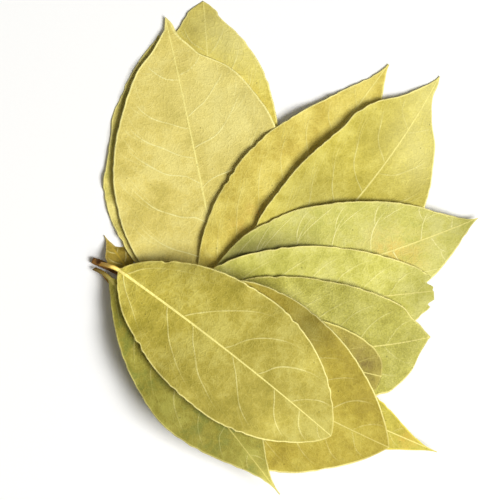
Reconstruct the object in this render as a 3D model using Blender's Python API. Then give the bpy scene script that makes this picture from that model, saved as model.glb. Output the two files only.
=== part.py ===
# Bay laurel sprig: a short woody shoot with thirteen dried leaves fanned out on it and one young
# leaf near the cut, lying flat on a table.
# Lengths in this file are millimetres until make_piece() turns them into metres.
# +Z is up, +Y is the way the longest leaves point, and the table is z = 0.
from collections import namedtuple
import math

import bmesh
import bpy
import numpy as np
from mathutils import Matrix, Vector

MM = 0.001

# The twig lies on the table. Its route runs from the cut end to the shoot tip.
TWIG_ROUTE = [(-60.0, -4.3), (-56.0, -6.0), (-51.6, -8.2), (-46.3, -12.1),
              (-35.5, -20.0), (-23.1, -28.8), (-12.2, -35.7)]
TWIG_RADIUS_CUT = 1.0
TWIG_RADIUS_TIP = 0.8
TWIG_SIDES = 10
TWIG_RINGS = 24
NODE_SWELL = 0.18
NODE_LENGTH = 0.9
BUD_LENGTH = 5.0
BUD_RADIUS = 1.2
BUD_GAP = 0.35
BUD_RINGS = (0.0, 0.12, 0.3, 0.5, 0.7, 0.87, 0.97)

# Every leaf has the same build: a stalk, and a blade whose midrib stands out underneath.
BLADE_THICKNESS = 0.40
STALK_RADIUS = 0.70
TIP_RADIUS = 0.22
KEEL_DEPTH = 0.40
KEEL_HALF_WIDTH = 0.9
# The stalk thins into the blade over this share of the blade's length.
STALK_FADE = 0.07
# How late the stalk turns away from the midrib's direction on its way to the twig.
STALK_SWEEP = 1.6
# Rings along a leaf, and points across each half of a ring as shares of its half width.
STALK_STATIONS = 5
BLADE_STATIONS = 19
ACROSS = (0.32, 0.62, 0.86)
KEEL_FOOT = 1.4
KEEL_FOOT_LIMIT = 0.16

# A dried blade bends a little under its own weight: its stiffness over its weight per area.
STIFFNESS = 3.0e4
# Air left under every leaf, and the waves along its margins.
AIR = 0.42
RIPPLE_HEIGHT = 0.5
RIPPLE_LENGTH = 26.0
# How hard contact pushes a blade up, and how hard the twig holds its base down.
CONTACT = 4000.0
HOLD = 0.05
SETTLE_ROUNDS = 60
# The table is a square of cells.
CELL = 0.5
TABLE = 110.0
# A stalk that leaves the twig sideways starts this far out from the bark and this high up.
SIDE_REACH = 1.2
SIDE_HEIGHT = 1.4
# Only the part of a stalk that a hump can lift, away from its own joint, is kept clear.
STALK_HUMP = 0.3
STALK_CLEAR = 0.7

# base, tip: ends of the blade seen from above        width: of the blade
# bow: how far the midrib swings left of a straight line, seen from base to tip
# widest: where the blade is widest, 0 at the base and 1 at the tip
# heel, point: roundness of the two ends, 0.5 like an ellipse and 1 or more drawn out
# joint: where the stalk meets the twig, 0 at the cut and 1 at the shoot tip
# side: 1 on the twig's left, -1 on its right, 0 on top
# cup: rise of the margins above the midrib           arch: rise of the middle above the ends
# twist: rise of the left margin at the tip           broken: share of the blade lost at the tip
Leaf = namedtuple("Leaf", "base tip width bow widest heel point joint side cup arch twist broken")

# From the lowest leaf to the one on top.
LEAVES = {
    "leaf_01": Leaf((-48.5, -7.8), (-56.3, 3.4), 8.5, 0.0, 0.42, 0.60, 2.2,
                    0.31, 1, 0.5, 0.5, 0.0, 0.0),
    "leaf_02": Leaf((-27.0, -16.0), (-39.5, 65.4), 48.5, 0.0, 0.46, 0.60, 1.15,
                    0.643, 1, 0.8, 0.8, 0.0, 0.0),
    "leaf_03": Leaf((-21.9, -14.0), (-25.6, 76.0), 42.0, -1.0, 0.50, 0.60, 0.90,
                    0.71, 1, 0.8, 1.0, 0.0, 0.0),
    "leaf_04": Leaf((-18.5, -20.5), (-37.4, 71.0), 53.0, -0.5, 0.42, 0.55, 1.0,
                    0.827, 1, 0.9, 1.0, 0.1, 0.0),
    "leaf_05": Leaf((-22.1, -16.4), (31.8, 56.4), 37.5, 0.0, 0.45, 0.42, 1.5,
                    0.77, 1, 0.9, 1.5, 0.2, 0.0),
    "leaf_06": Leaf((-14.8, -19.5), (47.6, 52.7), 39.6, -5.5, 0.50, 0.50, 1.1,
                    0.904, 1, 2.4, 2.5, 2.6, 0.0),
    "leaf_07": Leaf((-25.3, -16.4), (59.4, 8.8), 41.0, -2.4, 0.42, 0.65, 1.1,
                    0.563, 0, 0.8, 3.0, 0.0, 0.0),
    "leaf_08": Leaf((-32.4, -16.4), (53.2, -12.7), 34.0, -2.0, 0.45, 0.65, 1.0,
                    0.39, 0, 0.6, 3.5, 0.0, 0.09),
    "leaf_09": Leaf((-31.5, -23.3), (44.5, -27.9), 43.5, -5.6, 0.45, 0.65, 0.68,
                    0.463, 0, 0.6, 3.5, 0.0, 0.0),
    "leaf_10": Leaf((-26.2, -27.3), (29.3, -40.0), 26.0, 0.0, 0.55, 0.60, 0.38,
                    0.603, 0, 1.0, 2.0, 0.0, 0.0),
    "leaf_11": Leaf((-31.8, -27.0), (46.7, -63.5), 25.5, -0.7, 0.45, 0.70, 1.5,
                    0.43, 0, 0.6, 4.0, 0.0, 0.0),
    "leaf_12": Leaf((-48.8, -16.4), (31.8, -62.0), 55.0, -2.0, 0.46, 0.90, 0.85,
                    0.076, -1, 0.8, 5.0, 0.0, 0.0),
    "leaf_13": Leaf((-54.6, -9.8), (-2.0, -76.3), 31.5, 0.5, 0.50, 0.95, 1.9,
                    0.023, -1, 0.8, 5.0, 0.0, 0.0),
    "leaf_14": Leaf((-51.6, -7.3), (13.8, -58.3), 41.0, 1.2, 0.50, 0.72, 0.74,
                    0.047, 0, 1.2, 5.0, 0.0, 0.0),
}

# Linear colour and roughness of the dried leaves, the bark and the bud scales.
LEAF_FINISH = ((0.50, 0.43, 0.10), 0.6)
FINISH = {
    "twig": ((0.24, 0.11, 0.02), 0.7),
    "terminal_bud": ((0.18, 0.09, 0.03), 0.6),
}


# ---- twig and bud ---------------------------------------------------------------------------

def route_curve():
    """Smooth plan curve through the twig's route, as polynomials of the share of its length."""
    points = np.array(TWIG_ROUTE)
    steps = np.linalg.norm(np.diff(points, axis=0), axis=1)
    share = np.concatenate([[0.0], np.cumsum(steps)]) / steps.sum()
    return np.polyfit(share, points[:, 0], 4), np.polyfit(share, points[:, 1], 4), steps.sum()


TWIG_X, TWIG_Y, TWIG_LENGTH = route_curve()
TWIG_HEIGHT = TWIG_RADIUS_CUT + NODE_SWELL


def twig_frame(share):
    """Plan point of the twig's axis, its direction and its left-hand direction."""
    point = np.array([np.polyval(TWIG_X, share), np.polyval(TWIG_Y, share)])
    ahead = np.array([np.polyval(np.polyder(TWIG_X), share), np.polyval(np.polyder(TWIG_Y), share)])
    ahead = ahead / np.linalg.norm(ahead)
    return point, ahead, np.array([-ahead[1], ahead[0]])


def twig_radius(share):
    radius = TWIG_RADIUS_CUT + (TWIG_RADIUS_TIP - TWIG_RADIUS_CUT) * share
    for leaf in LEAVES.values():
        radius += NODE_SWELL * math.exp(-((share - leaf.joint) * TWIG_LENGTH / NODE_LENGTH) ** 2)
    return min(radius, TWIG_HEIGHT)


def round_ring(centre, ahead, height, radius):
    """Ring of points round a level axis."""
    left = np.array([-ahead[1], ahead[0]])
    ring = []
    for i in range(TWIG_SIDES):
        turn = 2.0 * math.pi * i / TWIG_SIDES
        flat = centre + left * radius * math.cos(turn)
        ring.append((flat[0], flat[1], height + radius * math.sin(turn)))
    return ring


def twig_rings():
    rings = []
    for share in np.linspace(0.0, 1.0, TWIG_RINGS):
        point, ahead, _ = twig_frame(share)
        rings.append(round_ring(point, ahead, TWIG_HEIGHT, twig_radius(share)))
    return rings


def bud_rings():
    """Pointed bud in line with the shoot tip."""
    point, ahead, _ = twig_frame(1.0)
    rings = []
    for share in BUD_RINGS:
        radius = BUD_RADIUS * (0.45 + 0.55 * math.sin(math.pi * min(1.0, share / 0.6) / 2.0))
        radius *= math.sqrt(1.0 - share ** 2)
        centre = point + ahead * (BUD_GAP + BUD_LENGTH * share)
        rings.append(round_ring(centre, ahead, TWIG_HEIGHT, radius))
    return rings


# ---- plan of a leaf -------------------------------------------------------------------------
# Each leaf has its own axes: x runs from the base of the blade to its tip, and y to the left.

def leaf_axes(leaf):
    base = np.array(leaf.base)
    along = np.array(leaf.tip) - base
    length = np.linalg.norm(along)
    along = along / length
    return base, along, np.array([-along[1], along[0]]), length


def stalk_end(leaf):
    """Where the stalk meets the twig, in the leaf's axes."""
    base, along, left, _ = leaf_axes(leaf)
    point, _, twig_left = twig_frame(leaf.joint)
    point = point + leaf.side * (TWIG_RADIUS_CUT + SIDE_REACH) * twig_left - base
    return point @ along, point @ left


def spine(leaf, x):
    """Sideways place of the midrib and the stalk."""
    end_x, end_y = stalk_end(leaf)
    length = leaf_axes(leaf)[3]
    slope = 4.0 * leaf.bow / length
    stalk = slope * x + (end_y - slope * end_x) * np.clip(x / end_x, 0.0, 1.0) ** STALK_SWEEP
    return np.where(x < 0.0, stalk, slope * x * (1.0 - x / length))


def half_width(leaf, x):
    s = np.clip(x / leaf_axes(leaf)[3], 0.0, 1.0)
    heel = np.clip(1.0 - (1.0 - s / leaf.widest) ** 2, 0.0, 1.0) ** leaf.heel
    point = np.clip(1.0 - ((s - leaf.widest) / (1.0 - leaf.widest)) ** 2, 0.0, 1.0) ** leaf.point
    edge = leaf.width / 2.0 * np.where(s < leaf.widest, heel, point)
    return np.hypot(STALK_RADIUS + (TIP_RADIUS - STALK_RADIUS) * s, edge)


def stations(leaf):
    end_x = stalk_end(leaf)[0]
    length = leaf_axes(leaf)[3] * (1.0 - leaf.broken)
    stalk = np.linspace(end_x, 0.0, STALK_STATIONS)[:-1]
    turn = np.linspace(0.0, math.pi, BLADE_STATIONS)
    return np.concatenate([stalk, length * (1.0 - np.cos(turn)) / 2.0])


def skins(leaf, x, v):
    """Height of the upper and lower skin above the middle surface, v being -1 to 1 across."""
    s = np.clip(x / leaf_axes(leaf)[3], 0.0, 1.0)
    stalk = np.exp(-(s / STALK_FADE) ** 2)
    half = BLADE_THICKNESS / 2.0 + (STALK_RADIUS - BLADE_THICKNESS / 2.0) * stalk
    rim = np.sqrt(np.clip(1.0 - v ** 2, 0.0, 1.0))
    keel = KEEL_DEPTH * (1.0 - s) * (1.0 - stalk)
    keel = keel * np.exp(-(v * half_width(leaf, x) / KEEL_HALF_WIDTH) ** 2)
    return half * rim, -half * rim - keel


def in_plan(leaf, x, v):
    base, along, left, _ = leaf_axes(leaf)
    y = spine(leaf, x) + v * half_width(leaf, x)
    return (base[0] + x * along[0] + y * left[0], base[1] + x * along[1] + y * left[1])


# ---- how the leaves lie ---------------------------------------------------------------------

class Pile:
    """Height of what already lies on each cell of the table."""

    def __init__(self):
        cells = int(2 * TABLE / CELL)
        self.top = np.zeros((cells, cells))

    def cells(self, x, y):
        return (((x + TABLE) / CELL).astype(int), ((y + TABLE) / CELL).astype(int))

    def add(self, x, y, z):
        np.maximum.at(self.top, self.cells(x, y), z)

    def height(self, x, y):
        """Highest thing within one cell of each point."""
        i, j = self.cells(x, y)
        near = [self.top[i + di, j + dj] for di in (-1, 0, 1) for dj in (-1, 0, 1)]
        return np.max(near, axis=0)


def bending_terms(xi, eta):
    """Powers that a blade may bend by, and their second derivatives."""
    terms, xx, xy, yy = [], [], [], []
    for i, j in ((0, 0), (1, 0), (2, 0), (3, 0), (4, 0), (5, 0),
                 (0, 1), (1, 1), (2, 1), (3, 1), (0, 2), (1, 2), (2, 2)):
        terms.append(xi ** i * eta ** j)
        xx.append(i * (i - 1) * xi ** max(i - 2, 0) * eta ** j)
        xy.append(i * j * xi ** max(i - 1, 0) * eta ** max(j - 1, 0))
        yy.append(j * (j - 1) * xi ** i * eta ** max(j - 2, 0))
    return [np.stack([t.ravel() for t in group], axis=1) for group in (terms, xx, xy, yy)]


def across(leaf, x, v):
    """Distance from the midrib as a share of the blade's half width."""
    return v * half_width(leaf, x) / (leaf.width / 2.0)


def own_shape(leaf, number, x, v):
    """Height of an unloaded blade: arched, cupped, twisted and rippled along its margins."""
    s = x / leaf_axes(leaf)[3]
    eta = across(leaf, x, v)
    ripple = np.sin(2.0 * math.pi * x / RIPPLE_LENGTH + number * 2.4 + np.sign(v))
    ripple = RIPPLE_HEIGHT * np.abs(eta) ** 3 * ripple * np.clip(s * 4.0, 0.0, 1.0)
    return leaf.arch * 4.0 * s * (1.0 - s) + leaf.cup * eta ** 2 + leaf.twist * s * eta + ripple


def lowest(leaf, pile, x, v):
    """Least height of a leaf's middle surface that leaves air between it and the pile."""
    beneath = pile.height(*in_plan(leaf, x, v))
    return beneath + np.where(beneath > 0.0, AIR, 0.0) - skins(leaf, x, v)[1]


def settle(leaf, number, pile):
    """Let a leaf down on the pile and return its height as a function of x and v.

    The blade takes the bend with the least weight and bending energy that stays clear of the
    pile, and the stalk runs down from its base to the twig.
    """
    length = leaf_axes(leaf)[3]
    end = length * (1.0 - leaf.broken)
    x, v = np.meshgrid(np.linspace(0.0, end, 80), np.linspace(-1.0, 1.0, 25))
    terms, xx, xy, yy = bending_terms(x / length, across(leaf, x, v))
    area = half_width(leaf, x).ravel()
    area = area / area.sum()
    half = leaf.width / 2.0
    bend = STIFFNESS * (xx.T * area @ xx / length ** 4 + yy.T * area @ yy / half ** 4
                        + 2.0 * xy.T * area @ xy / (length * half) ** 2)
    rest = own_shape(leaf, number, x, v).ravel()
    need = lowest(leaf, pile, x, v).ravel()
    base = (x.ravel() == 0.0) & (np.abs(v.ravel()) < 0.01)
    held = terms[base].T * HOLD
    bends = np.zeros(terms.shape[1])
    for _ in range(SETTLE_ROUNDS):
        touching = rest + terms @ bends < need
        push = terms[touching].T * area[touching] * CONTACT
        stiff = bend + push @ terms[touching] + held @ terms[base] + 1e-9 * np.eye(len(bends))
        load = push @ (need - rest)[touching] - area @ terms + held @ (need - rest)[base]
        bends = 0.5 * bends + 0.5 * np.linalg.solve(stiff, load)

    def blade(x, v):
        terms = bending_terms(x / length, across(leaf, x, v))[0]
        return own_shape(leaf, number, x, v) + (terms @ bends).reshape(x.shape)

    end_x = stalk_end(leaf)[0]
    base_height, ahead = blade(np.array([0.0, 0.5]), np.zeros(2))
    slope = (ahead - base_height) / 0.5
    x = np.linspace(end_x, 0.0, 60)[:, None] + np.zeros((60, 7))
    v = np.zeros_like(x) + np.linspace(-1.0, 1.0, 7)
    need = lowest(leaf, pile, x, v)
    end_height = SIDE_HEIGHT if leaf.side else need[0, 3]
    curve = (end_height - base_height - slope * end_x) / end_x ** 2

    def stalk(x, lift):
        u = np.clip(x / end_x, 0.0, 1.0)
        return base_height + slope * x + curve * x ** 2 + lift * 16.0 * (u * (1.0 - u)) ** 2

    hump = stalk(x, 1.0) - stalk(x, 0.0)
    clear = (hump > STALK_HUMP) & (x > STALK_CLEAR * end_x)
    lift = max(0.0, ((need - stalk(x, 0.0)) / np.where(clear, hump, 1.0))[clear].max())

    def height(x, v):
        return np.where(x < 0.0, stalk(x, lift), blade(np.maximum(x, 0.0), v))

    return height


def lay_on(pile, leaf, height):
    """Add a settled leaf to the pile."""
    end = leaf_axes(leaf)[3] * (1.0 - leaf.broken)
    x, v = np.meshgrid(np.linspace(stalk_end(leaf)[0], end, 260), np.linspace(-1.0, 1.0, 121))
    pile.add(*in_plan(leaf, x, v), height(x, v) + skins(leaf, x, v)[0])


def leaf_rings(leaf, height):
    """Rings of points round a leaf, from its stalk's end to its tip."""
    rings = []
    for x in stations(leaf):
        half = float(half_width(leaf, np.array(x)))
        flank = min(KEEL_FOOT_LIMIT, KEEL_FOOT * KEEL_HALF_WIDTH / half)
        upper = np.array([-1.0] + [-a for a in reversed(ACROSS)] + [0.0] + list(ACROSS) + [1.0])
        lower = np.array(list(reversed(ACROSS)) + [flank, 0.0, -flank] + [-a for a in ACROSS])
        ring = []
        for v, skin in ((upper, 0), (lower, 1)):
            at = np.full(v.shape, x)
            flat_x, flat_y = in_plan(leaf, at, v)
            z = height(at, v) + skins(leaf, at, v)[skin]
            ring += list(zip(flat_x, flat_y, z))
        rings.append(ring)
    return rings


# ---- the sprig ------------------------------------------------------------------------------

def bridge_rings(bm, rings):
    """Skin closed rings of points and close both ends."""
    loops = [[bm.verts.new(point) for point in ring] for ring in rings]
    for low, high in zip(loops, loops[1:]):
        for i in range(len(low)):
            j = (i + 1) % len(low)
            bm.faces.new((low[i], low[j], high[j], high[i]))
    for loop in (loops[0], loops[-1]):
        middle = bm.verts.new(sum((v.co for v in loop), Vector()) / len(loop))
        for i in range(len(loop)):
            bm.faces.new((loop[i], loop[(i + 1) % len(loop)], middle))


def make_piece(name, rings, to_metres, colour, roughness):
    """Make one named object, with a material of its own, from rings in millimetres."""
    bm = bmesh.new()
    bridge_rings(bm, rings)
    bmesh.ops.transform(bm, matrix=to_metres, verts=bm.verts)
    bmesh.ops.triangulate(bm, faces=bm.faces)
    bmesh.ops.recalc_face_normals(bm, faces=bm.faces)
    mesh = bpy.data.meshes.new(name)
    bm.to_mesh(mesh)
    bm.free()
    mesh.shade_smooth()
    material = bpy.data.materials.new(name + "_surface")
    material.use_nodes = True
    shader = material.node_tree.nodes["Principled BSDF"]
    shader.inputs["Base Color"].default_value = (*colour, 1.0)
    shader.inputs["Roughness"].default_value = roughness
    shader.inputs["Metallic"].default_value = 0.0
    mesh.materials.append(material)
    bpy.context.scene.collection.objects.link(bpy.data.objects.new(name, mesh))


def build_sprig():
    for obj in list(bpy.data.objects):
        bpy.data.objects.remove(obj)

    pieces = {"twig": twig_rings(), "terminal_bud": bud_rings()}
    pile = Pile()
    for rings in pieces.values():
        fine = np.array(rings)
        for step in np.linspace(0.0, 1.0, 12):
            between = fine[:-1] * (1.0 - step) + fine[1:] * step
            pile.add(*between.reshape(-1, 3).T)
    for number, (name, leaf) in enumerate(LEAVES.items()):
        height = settle(leaf, number, pile)
        lay_on(pile, leaf, height)
        pieces[name] = leaf_rings(leaf, height)

    points = np.concatenate([np.array(rings).reshape(-1, 3) for rings in pieces.values()])
    low, high = points.min(axis=0), points.max(axis=0)
    origin = Vector(((low[0] + high[0]) / 2.0, (low[1] + high[1]) / 2.0, low[2]))
    to_metres = Matrix.Scale(MM, 4) @ Matrix.Translation(-origin)
    for name, rings in pieces.items():
        colour, roughness = FINISH.get(name, LEAF_FINISH)
        make_piece(name, rings, to_metres, colour, roughness)


build_sprig()
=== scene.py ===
import math

import bmesh
import bpy
import numpy as np
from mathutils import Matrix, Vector


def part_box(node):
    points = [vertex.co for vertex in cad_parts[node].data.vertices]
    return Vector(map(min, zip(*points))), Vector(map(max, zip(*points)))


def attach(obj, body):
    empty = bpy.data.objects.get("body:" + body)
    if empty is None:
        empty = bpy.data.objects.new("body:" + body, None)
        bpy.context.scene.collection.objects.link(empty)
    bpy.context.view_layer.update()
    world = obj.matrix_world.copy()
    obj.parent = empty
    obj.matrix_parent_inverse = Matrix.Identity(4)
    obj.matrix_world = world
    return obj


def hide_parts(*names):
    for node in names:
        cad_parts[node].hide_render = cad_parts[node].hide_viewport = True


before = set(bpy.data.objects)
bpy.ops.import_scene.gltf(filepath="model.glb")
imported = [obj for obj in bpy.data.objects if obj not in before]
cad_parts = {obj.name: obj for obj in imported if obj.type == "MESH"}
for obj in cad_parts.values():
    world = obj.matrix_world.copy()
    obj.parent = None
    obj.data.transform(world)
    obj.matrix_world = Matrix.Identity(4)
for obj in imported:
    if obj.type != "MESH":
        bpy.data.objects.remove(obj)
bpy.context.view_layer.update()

# ---- Twig -------------------------------------------------------------------------------------
# The woody shoot that carries the leaves, cut across with a knife at one end. Thin reddish-brown
# bark, wrinkled lengthwise as it dried, covers pale wood and swells where each stalk grew.

MM = 0.001
# Cells of the bark tube along and around, and the least gap in mm between two rings of the CAD.
TWIG_ALONG = 220
TWIG_AROUND = 44
RING_GAP = 0.8
# Depth in mm of the wrinkles, and how many go round, with their twist for each ring of cells.
BARK_WRINKLE = 0.05
BARK_FOLDS = ((7.0, 0.05), (11.0, -0.09))
# The knife cut in mm: the bark's lip, the step inside it, and how far the dry wood sank.
BARK_LIP = 0.16
WOOD_STEP = 0.04
WOOD_SUNK = 0.06


def linear(code):
    """Linear colour of an sRGB hex code."""
    parts = [int(code[i:i + 2], 16) / 255.0 for i in (1, 3, 5)]
    return tuple(p / 12.92 if p <= 0.04045 else ((p + 0.055) / 1.055) ** 2.4 for p in parts)


def per_mm(size):
    """Texture scale, in cells per metre, of a pattern whose cells are this many millimetres."""
    return 1.0 / (size * MM)


def add(tree, kind, inputs=None, **settings):
    """Add a shader node, set its properties, and set or link its inputs."""
    node = tree.nodes.new("ShaderNode" + kind)
    for name, value in settings.items():
        setattr(node, name, value)
    for name, value in (inputs or {}).items():
        if isinstance(value, bpy.types.NodeSocket):
            tree.links.new(value, node.inputs[name])
        elif isinstance(value, str):
            node.inputs[name].default_value = (*linear(value), 1.0)
        else:
            node.inputs[name].default_value = value
    return node


def surface(name):
    """New material, with its node tree and its Principled BSDF."""
    material = bpy.data.materials.new(name)
    material.use_nodes = True
    return material, material.node_tree, material.node_tree.nodes["Principled BSDF"]


def spline(knots, values, at):
    """Natural cubic spline through rows of values at the knots."""
    gaps = np.diff(knots)
    rises = np.diff(values, axis=0) / gaps[:, None]
    system = np.eye(len(knots))
    bend = np.zeros_like(values)
    for i in range(1, len(knots) - 1):
        system[i, i - 1:i + 2] = gaps[i - 1], 2.0 * (gaps[i - 1] + gaps[i]), gaps[i]
        bend[i] = 6.0 * (rises[i] - rises[i - 1])
    bend = np.linalg.solve(system, bend)
    i = np.clip(np.searchsorted(knots, at, side="right") - 1, 0, len(knots) - 2)
    h, f, g = gaps[i][:, None], (at - knots[i])[:, None], (knots[i + 1] - at)[:, None]
    cubic = (g ** 3 / h - g * h) * bend[i] + (f ** 3 / h - f * h) * bend[i + 1]
    return (g * values[i] + f * values[i + 1]) / h + cubic / 6.0


def waves(seed, length, *places):
    """Smooth random field of about -1 to 1 whose humps are this long, at places in mm."""
    rng = np.random.default_rng(seed)
    total = 0.0
    for _ in range(7):
        heading = rng.normal(size=len(places))
        heading *= rng.uniform(0.7, 1.5) * math.pi / length / np.linalg.norm(heading)
        total = total + np.sin(sum(h * p for h, p in zip(heading, places)) + rng.uniform(0.0, 6.3))
    return total / 2.6


def put(bm, name, materials, body="root"):
    """Turn a bmesh into a smooth piece that rides on a body."""
    mesh = bpy.data.meshes.new(name)
    bm.to_mesh(mesh)
    bm.free()
    mesh.shade_smooth()
    for material in materials:
        mesh.materials.append(material)
    piece = bpy.data.objects.new(name, mesh)
    bpy.context.scene.collection.objects.link(piece)
    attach(piece, body)
    return piece


def cad_points(name):
    """Each point of a CAD node once, in mm."""
    return np.unique([tuple(v.co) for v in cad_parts[name].data.vertices], axis=0) / MM


def twig_line():
    """Middle and radius of the CAD twig at each of its rings, from the cut end on."""
    points = cad_points("twig")
    low, high = points[points[:, 0].argmin()], points[points[:, 0].argmax()]
    ahead = (high - low) / np.linalg.norm(high - low)
    points = points[np.argsort(points @ ahead)]
    steps = np.diff(points @ ahead) > RING_GAP
    rings = np.split(points, np.flatnonzero(steps) + 1)
    middles = np.array([(r.min(axis=0) + r.max(axis=0)) / 2.0 for r in rings])
    radii = np.array([(r[:, 2].max() - r[:, 2].min()) / 2.0 for r in rings])
    return np.column_stack([middles, radii])


def bark_material():
    """Young laurel bark: dull reddish brown patches of 2.5 mm and pale lenticels 1.3 mm apart.

    Its fibres are too fine to show, so they are drawn 0.25 mm thick.
    """
    material, tree, shader = surface("laurel_bark")
    spot = add(tree, "TexCoord").outputs["Object"]
    patch = add(tree, "TexNoise", {"Vector": spot, "Scale": per_mm(2.5), "Detail": 4.0})
    tone = add(tree, "ValToRGB", {"Fac": patch.outputs["Fac"]})
    tone.color_ramp.elements[0].color = (*linear("#52300c"), 1.0)
    tone.color_ramp.elements[0].position = 0.35
    tone.color_ramp.elements[1].color = (*linear("#9a6a1c"), 1.0)
    tone.color_ramp.elements[1].position = 0.68
    pore = add(tree, "TexVoronoi", {"Vector": spot, "Scale": per_mm(1.3)})
    pale = add(tree, "MapRange", {"Value": pore.outputs["Distance"], "From Min": 0.10,
                                  "From Max": 0.22, "To Min": 0.7, "To Max": 0.0})
    mix = add(tree, "MixRGB", {"Fac": pale.outputs["Result"], "Color1": tone.outputs["Color"],
                               "Color2": "#b98d3c"})
    fibre = add(tree, "TexNoise", {"Vector": spot, "Scale": per_mm(0.25), "Detail": 3.0})
    bump = add(tree, "Bump", {"Height": fibre.outputs["Fac"], "Strength": 0.5,
                              "Distance": 0.1 * MM})
    tree.links.new(mix.outputs["Color"], shader.inputs["Base Color"])
    tree.links.new(bump.outputs["Normal"], shader.inputs["Normal"])
    shader.inputs["Roughness"].default_value = 0.72
    return material


def cut_wood_material():
    """Pale sapwood where the knife went through: open pores, darkened a little as it dried."""
    material, tree, shader = surface("cut_sapwood")
    spot = add(tree, "TexCoord").outputs["Object"]
    pores = add(tree, "TexNoise", {"Vector": spot, "Scale": per_mm(0.2), "Detail": 4.0})
    tone = add(tree, "ValToRGB", {"Fac": pores.outputs["Fac"]})
    tone.color_ramp.elements[0].color = (*linear("#8f6a36"), 1.0)
    tone.color_ramp.elements[1].color = (*linear("#d2b47c"), 1.0)
    tree.links.new(tone.outputs["Color"], shader.inputs["Base Color"])
    shader.inputs["Roughness"].default_value = 0.8
    return material


def make_twig():
    """Bark tube along the CAD twig, with a knife-cut end that shows its wood."""
    line = twig_line()
    knots = np.arange(len(line), dtype=float)
    at = np.linspace(0.0, knots[-1], TWIG_ALONG + 1)
    fine = spline(knots, line, at)
    heading = np.gradient(fine[:, :2], axis=0)
    heading /= np.linalg.norm(heading, axis=1)[:, None]

    bm = bmesh.new()
    bmesh.ops.create_grid(bm, x_segments=TWIG_ALONG, y_segments=TWIG_AROUND, size=0.5)
    for vert in bm.verts:
        row = round((vert.co.x + 0.5) * TWIG_ALONG)
        turn = 2.0 * math.pi * round((vert.co.y + 0.5) * TWIG_AROUND) / TWIG_AROUND
        x, y, z, radius = fine[row]
        wrinkle = sum(0.5 * math.sin(folds * turn + twist * row) for folds, twist in BARK_FOLDS)
        radius -= BARK_WRINKLE * (0.5 + 0.5 * wrinkle)
        side = radius * math.cos(turn)
        ahead_x, ahead_y = heading[row]
        vert.co = Vector((x - ahead_y * side, y + ahead_x * side, z + radius * math.sin(turn))) * MM
    bmesh.ops.remove_doubles(bm, verts=bm.verts, dist=0.001 * MM)
    rims = [edge for edge in bm.edges if edge.is_boundary]
    ends = bmesh.ops.holes_fill(bm, edges=rims, sides=0)["faces"]
    bmesh.ops.recalc_face_normals(bm, faces=bm.faces)
    ends.sort(key=lambda face: face.calc_center_median().x)
    bmesh.ops.inset_region(bm, faces=ends[:1], thickness=BARK_LIP * MM, depth=0.0)
    ends[0].material_index = 1
    bmesh.ops.inset_region(bm, faces=ends[:1], thickness=WOOD_STEP * MM, depth=-WOOD_SUNK * MM)
    return put(bm, "bark_and_wood", [bark_material(), cut_wood_material()])


twig = make_twig()
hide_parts("twig")


# ---- Terminal bud -----------------------------------------------------------------------------
# The resting bud at the end of the shoot: a small pointed cone of dry brown scales that overlap
# like roof tiles, each grown from the shoot below it.

# Scales of the bud: their number, and their thickness in mm.
BUD_SCALES = 7
SCALE_THICK = 0.07
# Each scale starts a share of the bud further up than the last and is turned from it in radians.
# It runs up a share of the bud, and wraps round it by an angle on each side.
SCALE_STEP = 0.07
SCALE_TURN = 2.4
SCALE_LENGTH = 0.42
SCALE_WRAP = 0.9


def bud_material():
    """Dry bud scales: matt papery brown, in patches of 0.7 mm."""
    material, tree, shader = surface("bud_scales")
    spot = add(tree, "TexCoord").outputs["Object"]
    patch = add(tree, "TexNoise", {"Vector": spot, "Scale": per_mm(0.7), "Detail": 3.0})
    tone = add(tree, "ValToRGB", {"Fac": patch.outputs["Fac"]})
    tone.color_ramp.elements[0].color = (*linear("#4b2d14"), 1.0)
    tone.color_ramp.elements[1].color = (*linear("#9a7136"), 1.0)
    bump = add(tree, "Bump", {"Height": patch.outputs["Fac"], "Strength": 0.4,
                              "Distance": 0.1 * MM})
    tree.links.new(tone.outputs["Color"], shader.inputs["Base Color"])
    tree.links.new(bump.outputs["Normal"], shader.inputs["Normal"])
    shader.inputs["Roughness"].default_value = 0.65
    return material


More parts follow.
